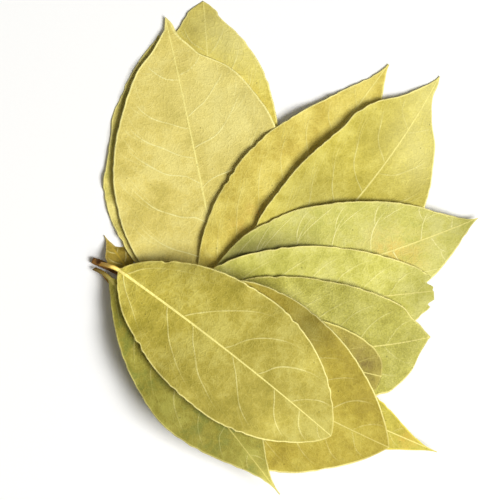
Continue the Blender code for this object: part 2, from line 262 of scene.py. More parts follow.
def make_bud():
    """Core of the bud with its scales laid round it, inside the CAD bud."""
    points = cad_points("terminal_bud")
    line = twig_line()
    ahead = line[-1, :3] - line[-2, :3]
    ahead = Vector(ahead).normalized()
    across = Vector((-ahead.y, ahead.x, 0.0))
    up = Vector((0.0, 0.0, 1.0))
    reach = points @ np.array(ahead)
    middle = Vector(line[-1, :3])
    start = reach.min() - middle.dot(ahead)
    length = reach.max() - reach.min()
    radius = (points[:, 2].max() - points[:, 2].min()) / 2.0

    def place(share, turn, out):
        round_part = math.sin(math.pi * min(1.0, share / 0.5) / 2.0) ** 0.7
        girth = radius * (0.4 + 0.6 * round_part) * math.sqrt(max(0.0, 1.0 - share ** 2.4))
        girth = max(0.0, girth - SCALE_THICK * 2.2) + out
        flat = across * math.cos(turn) * girth + up * math.sin(turn) * girth
        return (middle + ahead * (start + length * share * 0.98) + flat) * MM

    bm = bmesh.new()
    bmesh.ops.create_uvsphere(bm, u_segments=28, v_segments=20, radius=1.0)
    for vert in bm.verts:
        turn = math.atan2(vert.co.y, vert.co.x)
        vert.co = place(0.5 - 0.5 * vert.co.z, turn, 0.0)
    for number in range(BUD_SCALES):
        fresh = bmesh.ops.create_grid(bm, x_segments=10, y_segments=12, size=0.5)["verts"]
        begin = 0.02 + SCALE_STEP * number
        for vert in fresh:
            run, swing = vert.co.x + 0.5, 2.0 * vert.co.y
            width = SCALE_WRAP * math.sqrt(max(0.02, 1.0 - run ** 2.2))
            turn = SCALE_TURN * number + swing * width
            out = SCALE_THICK * (0.5 + 0.9 * run * (1.0 - 0.4 * swing ** 2))
            vert.co = place(begin + SCALE_LENGTH * run, turn, out)
        faces = list({face for vert in fresh for face in vert.link_faces})
        bmesh.ops.recalc_face_normals(bm, faces=faces)
        bmesh.ops.solidify(bm, geom=faces, thickness=SCALE_THICK * MM)
    bmesh.ops.recalc_face_normals(bm, faces=bm.faces)
    return put(bm, "scaly_bud", [bud_material()])


bud = make_bud()
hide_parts("terminal_bud")


# ---- Leaves -----------------------------------------------------------------------------------
# Dried laurel leaves, each one piece with its stalk: a leathery blade a third of a millimetre
# thick, a pale midrib that stands out underneath, side veins that arch towards the tip, and a
# thickened pale margin. They grew from the twig and have dried flat, yellow-green and a bit wavy.

# Rings of a CAD leaf: where their points lie as shares of the half width, the fewest points in a
# ring, the least gap in mm between rings, and how much wider than the stalk the blade begins.
RING_POINTS = (0.32, 0.62, 0.86)
RING_SIZE = 18
LEAF_RING_GAP = 0.03
STALK_SPREAD = 1.02
# Cells of the fine mesh: along the leaf, along its stalk alone, and across. They crowd at the
# midrib and the margins, and this share of them crowds at the blade's two ends.
ALONG = 176
STALK_ALONG = 22
ACROSS = 84
CROWDING = 0.45
END_CROWDING = 0.35
# Thicknesses in mm: half the lamina, the bead on its margin, and the midrib above and below it.
LAMINA_HALF = 0.15
MARGIN_BEAD = 0.05
BEAD_WIDTH = 0.45
RIB_TOP = 0.10
KEEL = 0.34
# Relief in mm: the ridges on the side veins, the swelling between them, the crumpling as the leaf
# dried, and the waves of its margin, which grow towards the margin by this power.
VEIN_RIDGE = 0.06
RIDGE_WIDTH = 0.4
QUILT = 0.07
CRUMPLE = 0.14
FLUTTER = 0.22
FLUTTER_POWER = 4
# Nicks in the margin: their depth in mm, the most as a share of the half width, and how closely
# they keep to the margin. A bite takes this share of the half width at most.
NIBBLE = 0.20
NIBBLE_MOST = 0.12
NIBBLE_POWER = 6
BITE_MOST = 0.65
BITE_POWER = 4
# A dropped margin bends the blade down more and more towards the margin.
DROP_POWER = 2
DROP_BEND = 2.5
# The upper skin stays this many mm above the table.
LEAST_HEIGHT = 0.15
# Side veins: how far they wander in mm, and the power by which they bend towards the tip.
VEIN_WOBBLE = 0.28
VEIN_STRAY = 1.0
VEIN_BEND = 2.2
# They fork between these shares of the half width, into branches this many ranks apart.
FORK_START = 0.52
FORK_END = 0.88
FORK_SPREAD = 0.3
FORK_FADE = 0.1
# A broken end starts at this share of the leaf.
TEAR_START = 0.93


def leaf_form(name):
    """Read a CAD leaf back: its axes, and its midrib, half width and heights at each ring.

    The leaf is a row of upright rings square to a line from its base to its tip, and its two
    ends are flat, so the way the ends face gives that line.
    """
    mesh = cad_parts[name].data
    points = cad_points(name)
    low, high = (np.array(corner)[:2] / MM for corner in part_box("twig"))
    off_twig = np.linalg.norm(points[:, :2] - np.clip(points[:, :2], low, high), axis=1)
    reach = points[off_twig.argmax()] - points[off_twig.argmin()]
    ahead = Vector()
    for face in mesh.polygons:
        sense = face.normal.dot(Vector(reach).normalized())
        if abs(face.normal.z) < 0.002 and abs(sense) > 0.7:
            ahead += face.normal * math.copysign(face.area, sense)
    ahead = np.array(ahead.normalized())
    left = np.array([-ahead[1], ahead[0], 0.0])
    points = points[np.argsort(points @ ahead)]
    steps = np.diff(points @ ahead) > LEAF_RING_GAP
    rings = np.split(points, np.flatnonzero(steps) + 1)
    knots = np.array([-1.0, *(-p for p in reversed(RING_POINTS)), 0.0, *RING_POINTS, 1.0])
    rows = []
    for number, ring in enumerate(rings):
        if len(ring) < RING_SIZE:
            continue
        side = ring @ left
        spine, half = (side.max() + side.min()) / 2.0, (side.max() - side.min()) / 2.0
        share = (side - spine) / half
        pairs = [ring[np.abs(share - knot) < 0.012, 2] for knot in knots]
        thick = (pairs[3].max() - pairs[3].min()) / math.sqrt(1.0 - RING_POINTS[0] ** 2)
        heights = [(pair.max() + pair.min()) / 2.0 for pair in pairs]
        heights[4] = pairs[4].max() - thick / 2.0
        rows.append([number, (ring @ ahead).mean(), spine, half, *heights])
    rows = np.array(rows)
    base = np.flatnonzero(rows[:, 3] < STALK_SPREAD * rows[0, 3])
    base = base[base < len(rows) // 2].max()
    return ahead, left, knots, rows[:, 0], rows[:, 1:], base


def blade_grid(name):
    """Smooth midrib line, half widths and heights of a leaf at the places of the fine mesh."""
    ahead, left, knots, number, rows, base = leaf_form(name)
    fine = np.linspace(0.0, number[-1], 4000)
    run = spline(number, rows[:, :1], fine)[:, 0]
    start, end = rows[base, 0], rows[-1, 0]
    u = np.linspace(0.0, 1.0, ALONG - STALK_ALONG + 1)
    eased = (1.0 - np.cos(math.pi * u)) / 2.0
    blade = start + (end - start) * ((1.0 - END_CROWDING) * u + END_CROWDING * eased)
    stalk = np.linspace(rows[0, 0], start, STALK_ALONG + 1)[:-1]
    x = np.concatenate([stalk, blade])
    at = np.interp(x, run, fine)
    table = spline(number, rows, at)
    u = np.linspace(-1.0, 1.0, ACROSS + 1)
    v = u - CROWDING * np.sin(2.0 * math.pi * u) / (2.0 * math.pi)
    heights = spline(knots, table[:, 3:].T, v).T
    return ahead, left, start, x - start, end - start, v, table[:, 1], table[:, 2], heights


def side_veins(look, along, off, half, length, seed):
    """Rank of the side vein at each point, and the mm that one rank takes there.

    A side vein leaves the midrib at an angle and bends towards the tip. Its rank is a whole
    number, and the lamina between two veins has the ranks in between.
    """
    out = np.abs(off) / np.maximum(half, 0.5)
    lag = look["lean"] + look["sweep"] * out ** VEIN_BEND
    slope = look["lean"] + (1.0 + VEIN_BEND) * look["sweep"] * out ** VEIN_BEND
    wobble = VEIN_WOBBLE * waves(seed, 7.0, along, off)
    wobble = wobble + VEIN_STRAY * waves(seed + 1, 18.0, along, off)
    source = along - np.abs(off) * lag + wobble * np.minimum(1.0, np.abs(off) / 4.0)
    rank, pitch = np.zeros_like(along), np.zeros_like(along)
    for veins, here in ((look["left"], off >= 0.0), (look["right"], off < 0.0)):
        begins = np.array([veins[0] - 0.2, *veins, veins[-1] + 0.25]) * length
        ranks = np.array([-0.5, *range(len(veins)), len(veins) - 0.5])
        rank[here] = np.interp(source[here], begins, ranks)
        gap = np.diff(begins) / np.diff(ranks)
        section = np.clip(np.searchsorted(begins, source[here]) - 1, 0, len(gap) - 1)
        pitch[here] = gap[section] / np.sqrt(1.0 + slope[here] ** 2)
    return rank, pitch


def spots(marks, along, off, half, length):
    """Soft round marks, each with its place along and across, size in mm and strength."""
    total = np.zeros_like(along)
    for share, side, size, strength in marks:
        distance = np.hypot(along - share * length, off - side * half)
        total += strength * np.exp(-(distance / size) ** 2)
    return total


def margin_humps(marks, along, v, length, power):
    """Smooth humps along a margin, each with its place, side, height and length in mm."""
    total = np.zeros_like(along)
    for share, side, height, width in marks:
        hump = np.exp(-np.abs((along - share * length) / width) ** power)
        total += height * hump * (np.sign(v) == side)
    return total


def shape_leaf(name, number, look):
    """Places of the upper and lower skin of a leaf, and what its material needs to know."""
    ahead, left, start, x, length, v, spine, half, middle = blade_grid(name)
    x, spine, half = x[:, None], spine[:, None], half[:, None]
    seed = 100 * number
    share = x / length
    on_blade = np.clip(share / 0.03, 0.0, 1.0)
    along = x + 0.0 * v
    edge = np.sign(v) * 40.0 + along
    nibble = NIBBLE * (0.6 + 0.4 * waves(seed + 2, 2.2, edge)) * (1.0 + waves(seed + 3, 9.0, edge))
    bitten = margin_humps(look["bites"], along, v, length, BITE_POWER)
    reach = half - np.minimum(bitten, BITE_MOST * half) * on_blade
    nibble = np.minimum(nibble, NIBBLE_MOST * reach) * on_blade * np.abs(v) ** NIBBLE_POWER
    off = v * (reach - nibble)
    if look["broken"]:
        torn = 0.5 + 0.5 * waves(seed + 4, 1.6, off) + 0.6 * waves(seed + 5, 4.5, off)
        near_end = np.clip((share - TEAR_START) / (1.0 - TEAR_START), 0.0, 1.0)
        along = along - look["broken"] * np.clip(torn, 0.0, 2.0) * near_end

    rank, pitch = side_veins(look, along, off, half, length, seed + 6)
    to_vein = np.abs(rank - np.round(rank))
    fade = np.clip((0.85 - np.abs(v)) / 0.25, 0.0, 1.0) * np.clip(np.abs(off) / 0.8, 0.0, 1.0)
    ridge = VEIN_RIDGE * np.exp(-(to_vein * pitch / RIDGE_WIDTH) ** 2) * fade
    quilt = QUILT * (0.5 - 0.5 * np.cos(2.0 * math.pi * to_vein)) * fade
    out = np.abs(v) + 0.0 * along
    fork = FORK_SPREAD * np.clip((out - FORK_START) / (FORK_END - FORK_START), 0.0, 1.0)
    forked = look["forks"] * np.clip((out - FORK_START) / FORK_FADE, 0.0, 1.0)
    forked = forked * np.clip((0.95 - out) / FORK_FADE, 0.0, 1.0)
    relief = ridge + quilt * (1.0 + 0.6 * waves(seed + 7, 5.0, along, off))
    relief += CRUMPLE * (0.7 * waves(seed + 8, 6.0, along, off) + waves(seed + 9, 13.0, along, off))
    relief += FLUTTER * np.abs(v) ** FLUTTER_POWER * waves(seed + 10, 5.0, edge)
    lowered = margin_humps(look["drops"], along, v, length, DROP_POWER) * np.abs(v) ** DROP_BEND
    relief = (relief - lowered) * on_blade

    stalk = np.where(x < 0.0, 1.0, np.exp(-(share / 0.05) ** 2))
    rod = np.exp(-(np.maximum(np.abs(off) - 0.35, 0.0) / 0.6) ** 2)
    rod = 1.0 + (rod - 1.0) * np.clip(x / 2.0, 0.0, 1.0)
    thick = LAMINA_HALF + (half[0] - LAMINA_HALF) * stalk * rod
    inward = (1.0 - np.abs(v)) * half
    thick = thick + MARGIN_BEAD * np.exp(-(inward / BEAD_WIDTH - 0.6) ** 2) * on_blade
    thin = np.clip(1.0 - share, 0.0, 1.0)
    rib = np.exp(-(off / (0.25 + 0.3 * thin)) ** 2) * on_blade * (1.0 - stalk)
    power = 2.0 + 1.2 * np.maximum(half - 0.7, 0.0)
    rim = (1.0 - np.minimum(np.abs(v), 1.0) ** power) ** (1.0 / power)
    top = middle + relief + rim * (thick + RIB_TOP * (0.3 + 0.7 * thin) * rib)
    under = middle + relief - rim * (thick + KEEL * (0.15 + 0.85 * thin) * rib + 1.5 * ridge)

    run, side = start + along, spine + off
    skins = [run[..., None] * ahead + side[..., None] * left for _ in range(2)]
    skins[0][..., 2] = np.maximum(top, LEAST_HEIGHT)
    skins[1][..., 2] = np.maximum(under, 0.0)
    slant = np.hypot(1.0, np.gradient(half[:, 0], x[:, 0]))[:, None]
    margin = (1.0 - np.abs(v)) * reach / slant
    place = np.stack([along / length, off, margin], axis=2)
    vein = np.stack([rank, pitch, fade], axis=2)
    # Pale marks: bleaching, and on leaf_03 painted light on the lit half of a fold.
    bleach_and_lit = spots(look["bleach_and_lit_marks"], along, off, half, length)
    forks = np.stack([fork, forked, bleach_and_lit], axis=2)
    stain = spots(look["stains"], along, off, half, length)
    # Lights: the leaf's own lighter and darker places, and on some leaves painted light and shade.
    light = spots(look["lights"], along, off, half, length)
    return skins, place, vein, forks, stain, light


def leaf_mesh(name, number, look):
    """Closed mesh of a leaf: two grids joined round the margin and across both ends."""
    skins, place, vein, forks, stain, light = shape_leaf(name, number, look)
    bm = bmesh.new()
    # The layers come before the grid, because adding one later loses track of the vertices.
    place_layer = bm.verts.layers.float_vector.new("place")
    vein_layer = bm.verts.layers.float_vector.new("vein")
    forks_layer = bm.verts.layers.float_vector.new("forks")
    marks_layer = bm.verts.layers.float_vector.new("marks")
    bmesh.ops.create_grid(bm, x_segments=ALONG, y_segments=ACROSS, size=0.5)
    copy = bmesh.ops.duplicate(bm, geom=bm.verts[:] + bm.edges[:] + bm.faces[:])["geom"]
    under = {item for item in copy if isinstance(item, bmesh.types.BMVert)}
    turned = [item for item in copy if isinstance(item, bmesh.types.BMFace)]
    bmesh.ops.reverse_faces(bm, faces=turned)
    ends, rims = ([], []), []
    for vert in bm.verts:
        row, column = round((vert.co.x + 0.5) * ALONG), round((vert.co.y + 0.5) * ACROSS)
        below = vert in under
        if row in (0, ALONG):
            ends[row == ALONG].append(vert)
        if column in (0, ACROSS):
            rims.append(vert)
        vert.co = skins[below][row, column] * MM
        vert[place_layer] = place[row, column]
        vert[vein_layer] = vein[row, column]
        vert[forks_layer] = forks[row, column]
        vert[marks_layer] = (below, stain[row, column], light[row, column])
    for end in ends:
        chosen = set(end)
        rows = [edge for edge in bm.edges if edge.is_boundary and chosen.issuperset(edge.verts)]
        bmesh.ops.bridge_loops(bm, edges=rows)
    bmesh.ops.remove_doubles(bm, verts=rims, dist=0.0005 * MM)
    bmesh.ops.recalc_face_normals(bm, faces=bm.faces)
    return bm


def leaf_material(name, look):
    """Dried laurel lamina: leathery, matt with a faint waxy sheen, yellow-olive and mottled.

    Its veins and its margin are paler, a fine net joins the side veins, and the stalk is browner.
    Its attributes hold, in X, Y and Z: place (share along, mm off the midrib, mm to the margin),
    vein (rank, mm to a rank, strength), forks (ranks to the fork, its strength, bleaching, on
    leaf_03 painted light) and marks (1 on the underside, stain, lightening, which on some leaves
    is painted light and shade).
    """
    material, tree, shader = surface("dried_laurel_" + name)
    spot = add(tree, "TexCoord").outputs["Object"]
    layers = [add(tree, "Attribute", attribute_name=layer).outputs["Vector"]
              for layer in ("place", "vein", "forks", "marks")]
    place, vein, forks, marks = (add(tree, "SeparateXYZ", {0: layer}) for layer in layers)

    # Mottling: patches of 15 mm, clouds of 4 mm and crinkles of 1.6 mm mix three tones.
    broad = add(tree, "TexNoise", {"Vector": spot, "Scale": per_mm(15.0), "Detail": 2.0})
    cloud = add(tree, "TexNoise", {"Vector": spot, "Scale": per_mm(4.0), "Detail": 5.0,
                                   "Roughness": 0.6})
    crinkle = add(tree, "TexNoise", {"Vector": spot, "Scale": per_mm(1.6), "Detail": 4.0,
                                     "Roughness": 0.65, "Distortion": 0.8})
    tone = add(tree, "Math", {0: broad.outputs["Fac"], 1: cloud.outputs["Fac"]})
    tone = add(tree, "Math", {0: crinkle.outputs["Fac"], 1: 0.5, 2: tone.outputs[0]},
               operation="MULTIPLY_ADD")
    tone = add(tree, "Math", {0: tone.outputs[0], 1: 0.4}, operation="MULTIPLY")
    ramp = add(tree, "ValToRGB", {"Fac": tone.outputs[0]})
    ramp.color_ramp.elements[0].position = 0.41
    ramp.color_ramp.elements[0].color = (*linear(look["dark"]), 1.0)
    ramp.color_ramp.elements[1].position = 0.59
    ramp.color_ramp.elements[1].color = (*linear(look["pale"]), 1.0)
    middle = ramp.color_ramp.elements.new(0.50)
    middle.color = (*linear(look["tone"]), 1.0)
    colour = ramp.outputs["Color"]

    # Bleached places, where light has taken the last green out of the blade. On leaf_03 one is
    # painted light on the lit half of a fold.
    colour = add(tree, "MixRGB", {"Fac": forks.outputs["Z"], "Color1": colour,
                                  "Color2": look["bleached_and_lit_colour"]}).outputs["Color"]

    # Brown and orange stains, broken up by the same clouds.
    cut = add(tree, "MapRange", {"Value": cloud.outputs["Fac"], "From Min": 0.38, "From Max": 0.60})
    stain = add(tree, "Math", {0: cut.outputs["Result"], 1: marks.outputs["Y"]},
                operation="MULTIPLY", use_clamp=True)
    colour = add(tree, "MixRGB", {"Fac": stain.outputs[0], "Color1": colour,
                                  "Color2": look["stain"]}).outputs["Color"]

    # The net of fine veins shows only in places. Its smallest real cells, about half a
    # millimetre, are too fine to show, so they are drawn 0.9 mm wide inside cells of 2.4 mm.
    bent = add(tree, "TexNoise", {"Vector": spot, "Scale": per_mm(2.0)})
    bent = add(tree, "VectorMath", {0: bent.outputs["Color"], "Scale": 1.1 * MM}, operation="SCALE")
    bent = add(tree, "VectorMath", {0: spot, 1: bent.outputs[0]})
    coarse = add(tree, "TexVoronoi", {"Vector": bent.outputs[0], "Scale": per_mm(2.4)},
                 feature="DISTANCE_TO_EDGE")
    coarse = add(tree, "MapRange", {"Value": coarse.outputs["Distance"], "From Min": 0.015,
                                    "From Max": 0.09, "To Min": 1.0, "To Max": 0.0})
    mesh = add(tree, "TexVoronoi", {"Vector": bent.outputs[0], "Scale": per_mm(0.9)},
               feature="DISTANCE_TO_EDGE")
    mesh = add(tree, "MapRange", {"Value": mesh.outputs["Distance"], "From Min": 0.02,
                                  "From Max": 0.16, "To Min": 0.5, "To Max": 0.0})
    net = add(tree, "Math", {0: coarse.outputs["Result"], 1: mesh.outputs["Result"]},
              operation="MAXIMUM")
    part = add(tree, "MapRange", {"Value": broad.outputs["Fac"], "From Min": 0.35, "From Max": 0.6,
                                  "To Min": 0.15, "To Max": look["net"]})
    faint = add(tree, "Math", {0: net.outputs[0], 1: part.outputs["Result"]}, operation="MULTIPLY")
    colour = add(tree, "MixRGB", {"Fac": faint.outputs[0], "Color1": colour,
                                  "Color2": look["pale"]}).outputs["Color"]

    # Side veins, about half a millimetre wide: one runs wherever the rank is a whole number,
    # and its two branches leave it on either side. Dry skin hides parts of them.
    near = add(tree, "Math", {0: vein.outputs["X"]}, operation="ROUND")
    near = add(tree, "Math", {0: vein.outputs["X"], 1: near.outputs[0]}, operation="SUBTRACT")
    gap = add(tree, "Math", {0: near.outputs[0]}, operation="ABSOLUTE")
    near = add(tree, "Math", {0: gap.outputs[0], 1: vein.outputs["Y"]}, operation="MULTIPLY")
    line = add(tree, "MapRange", {"Value": near.outputs[0], "From Min": 0.06, "From Max": 0.26,
                                  "To Min": 1.0, "To Max": 0.0}, interpolation_type="SMOOTHSTEP")
    branch = add(tree, "Math", {0: gap.outputs[0], 1: forks.outputs["X"]}, operation="SUBTRACT")
    branch = add(tree, "Math", {0: branch.outputs[0]}, operation="ABSOLUTE")
    branch = add(tree, "Math", {0: branch.outputs[0], 1: vein.outputs["Y"]}, operation="MULTIPLY")
    branch = add(tree, "MapRange", {"Value": branch.outputs[0], "From Min": 0.04, "From Max": 0.2,
                                    "To Min": 1.0, "To Max": 0.0},
                 interpolation_type="SMOOTHSTEP")
    branch = add(tree, "Math", {0: branch.outputs["Result"], 1: forks.outputs["Y"]},
                 operation="MULTIPLY")
    worn = add(tree, "MapRange", {"Value": cloud.outputs["Fac"], "From Min": 0.36, "From Max": 0.56,
                                  "To Min": 0.45, "To Max": 1.0})
    line = add(tree, "Math", {0: line.outputs["Result"], 1: vein.outputs["Z"]},
               operation="MULTIPLY")
    line = add(tree, "Math", {0: line.outputs[0], 1: branch.outputs[0]}, operation="MAXIMUM")
    line = add(tree, "Math", {0: line.outputs[0], 1: worn.outputs["Result"]},
               operation="MULTIPLY")
    seen = add(tree, "Math", {0: line.outputs[0], 1: look["strength"]}, operation="MULTIPLY")
    colour = add(tree, "MixRGB", {"Fac": seen.outputs[0], "Color1": colour,
                                  "Color2": look["vein"]}).outputs["Color"]

    # Midrib: tapers from about 0.75 mm wide at the base to 0.2 mm at the tip.
    off = add(tree, "Math", {0: place.outputs["Y"]}, operation="ABSOLUTE")
    wide = add(tree, "MapRange", {"Value": place.outputs["X"], "To Min": 0.32, "To Max": 0.05})
    inside = add(tree, "Math", {0: off.outputs[0], 1: wide.outputs["Result"]}, operation="SUBTRACT")
    rib = add(tree, "MapRange", {"Value": inside.outputs[0], "From Min": -0.10, "From Max": 0.20,
                                 "To Min": 0.95, "To Max": 0.0}, interpolation_type="SMOOTHSTEP")
    colour = add(tree, "MixRGB", {"Fac": rib.outputs["Result"], "Color1": colour,
                                  "Color2": look["rib"]}).outputs["Color"]

    # Margin: a thickened pale edge 0.6 to 0.8 mm wide, faint beside the stalk and at the tip.
    edge = add(tree, "MapRange", {"Value": place.outputs["Z"], "From Min": 0.4 * look["margin"],
                                  "From Max": look["margin"], "To Min": 1.0, "To Max": 0.0},
               interpolation_type="SMOOTHSTEP")
    heel = add(tree, "MapRange", {"Value": place.outputs["X"], "From Max": 0.3, "To Min": 0.3})
    point = add(tree, "MapRange", {"Value": place.outputs["X"], "From Min": 0.9, "To Min": 0.95,
                                   "To Max": 0.3})
    edge = add(tree, "Math", {0: edge.outputs["Result"], 1: heel.outputs["Result"]},
               operation="MULTIPLY")
    edge = add(tree, "Math", {0: edge.outputs[0], 1: point.outputs["Result"]},
               operation="MULTIPLY")
    colour = add(tree, "MixRGB", {"Fac": edge.outputs[0], "Color1": colour,
                                  "Color2": look["rim"]}).outputs["Color"]

    # The stalk is golden brown, and its colour runs a little way up the midrib.
    before = add(tree, "MapRange", {"Value": place.outputs["X"], "From Min": -0.01,
                                    "From Max": 0.01, "To Min": 1.0, "To Max": 0.0})
    core = add(tree, "Math", {0: before.outputs["Result"], 1: rib.outputs["Result"]},
               operation="MAXIMUM")
    stalk = add(tree, "MapRange", {"Value": place.outputs["X"], "From Min": -0.08, "From Max": 0.05,
                                   "To Min": 1.0, "To Max": 0.0})
    stalk = add(tree, "Math", {0: stalk.outputs["Result"], 1: core.outputs[0]},
                operation="MULTIPLY")
    colour = add(tree, "MixRGB", {"Fac": stalk.outputs[0], "Color1": colour,
                                  "Color2": look["stalk"]}).outputs["Color"]

    # The underside is a little paler and duller.
    pale = add(tree, "Math", {0: marks.outputs["X"], 1: 0.3}, operation="MULTIPLY")
    colour = add(tree, "MixRGB", {"Fac": pale.outputs[0], "Color1": colour,
                                  "Color2": look["underside"]}).outputs["Color"]

    # Grain of the skin, drawn at 0.45 mm because its pores are too fine to show, and a few dark
    # specks about 5 mm apart. Lightening makes each place brighter or darker as a whole: on some
    # leaves this is their own tone, on others painted light and shade.
    grain = add(tree, "TexNoise", {"Vector": spot, "Scale": per_mm(0.45), "Detail": 3.0})
    shade = add(tree, "MapRange", {"Value": grain.outputs["Fac"], "From Min": 0.3, "From Max": 0.7,
                                   "To Min": 1.0 - 0.09 * look["grain"],
                                   "To Max": 1.0 + 0.08 * look["grain"]})
    dots = add(tree, "TexVoronoi", {"Vector": spot, "Scale": per_mm(5.0), "Randomness": 1.0})
    dots = add(tree, "MapRange", {"Value": dots.outputs["Distance"], "From Min": 0.035,
                                  "From Max": 0.06, "To Min": 0.6, "To Max": 1.0})
    shade = add(tree, "Math", {0: shade.outputs["Result"], 1: dots.outputs["Result"]},
                operation="MULTIPLY")
    # Lightening: the leaf's own lighter and darker places, and painted light and shade.
    light = add(tree, "Math", {0: marks.outputs["Z"], 1: 1.0})
    shade = add(tree, "Math", {0: shade.outputs[0], 1: light.outputs[0]}, operation="MULTIPLY")
    colour = add(tree, "MixRGB", {"Fac": 1.0, "Color1": colour, "Color2": shade.outputs[0]},
                 blend_type="MULTIPLY").outputs["Color"]
    tree.links.new(colour, shader.inputs["Base Color"])

    # Relief: the crinkles stand up to 0.9 mm, and grain, net and veins 0.14 mm. The dry skin
    # scatters most of the light, and is a little glossier where it is paler.
    height = add(tree, "Math", {0: grain.outputs["Fac"], 1: net.outputs[0]})
    height = add(tree, "Math", {0: height.outputs[0], 1: line.outputs[0]})
    bump = add(tree, "Bump", {"Height": crinkle.outputs["Fac"], "Strength": 0.25,
                              "Distance": 0.9 * MM})
    bump = add(tree, "Bump", {"Height": height.outputs[0], "Strength": 0.4, "Distance": 0.14 * MM,
                              "Normal": bump.outputs["Normal"]})
    tree.links.new(bump.outputs["Normal"], shader.inputs["Normal"])
    gloss = add(tree, "MapRange", {"Value": cloud.outputs["Fac"], "To Min": 0.62, "To Max": 0.48})
    tree.links.new(gloss.outputs["Result"], shader.inputs["Roughness"])
    shader.inputs["Specular IOR Level"].default_value = 0.16
    return material


# What all the leaves share, and then how each one differs. Left is +1 and right -1, looking from
# the base to the tip.
# tone, dark, pale: the mottled colours of the blade. The other colours are of what they name.
# left, right: where the side veins leave the midrib, as shares of its length.
# lean, sweep: how much the side veins lean towards the tip, and bend to it near the margin.
# strength, forks, net: how clearly the side veins, their branches and the net show.
# grain: how rough the skin looks. margin: width of the pale margin in mm.
# broken: depth in mm of the tear where the tip has broken off.
# stains, lights, fades: soft round marks, each with its share along, share across, size in mm and
# strength. Stains are brown. Lights make the skin lighter or darker: on some leaves this is their
# own tone, and on others painted light and shade. The pale marks bleach it, except on leaf_03,
# where one paints light on the lit half of a fold.
# bites, drops: changes of one margin, each with its share along, side, mm and length in mm.
# Bites take the margin in, and drops bend it down. Less than nothing puts it out, or lifts it.
PLAIN = {
    "left": (0.04, 0.17, 0.30, 0.43, 0.56, 0.69, 0.82),
    "right": (0.04, 0.15, 0.28, 0.41, 0.54, 0.68, 0.81),
    "lean": 0.75, "sweep": 0.9, "broken": 0.0, "net": 0.55, "grain": 1.0,
    "stains": (), "lights": (), "bleach_and_lit_marks": (), "bites": (), "drops": (),
    "stain": "#b98a3c", "vein": "#f8f0a4", "rib": "#f8ec90", "rim": "#fbef98", "stalk": "#ad7a1a",
    "bleached_and_lit_colour": "#f3eb9c", "underside": "#c9c283",
    "strength": 0.95, "forks": 0.35, "margin": 0.6,
}
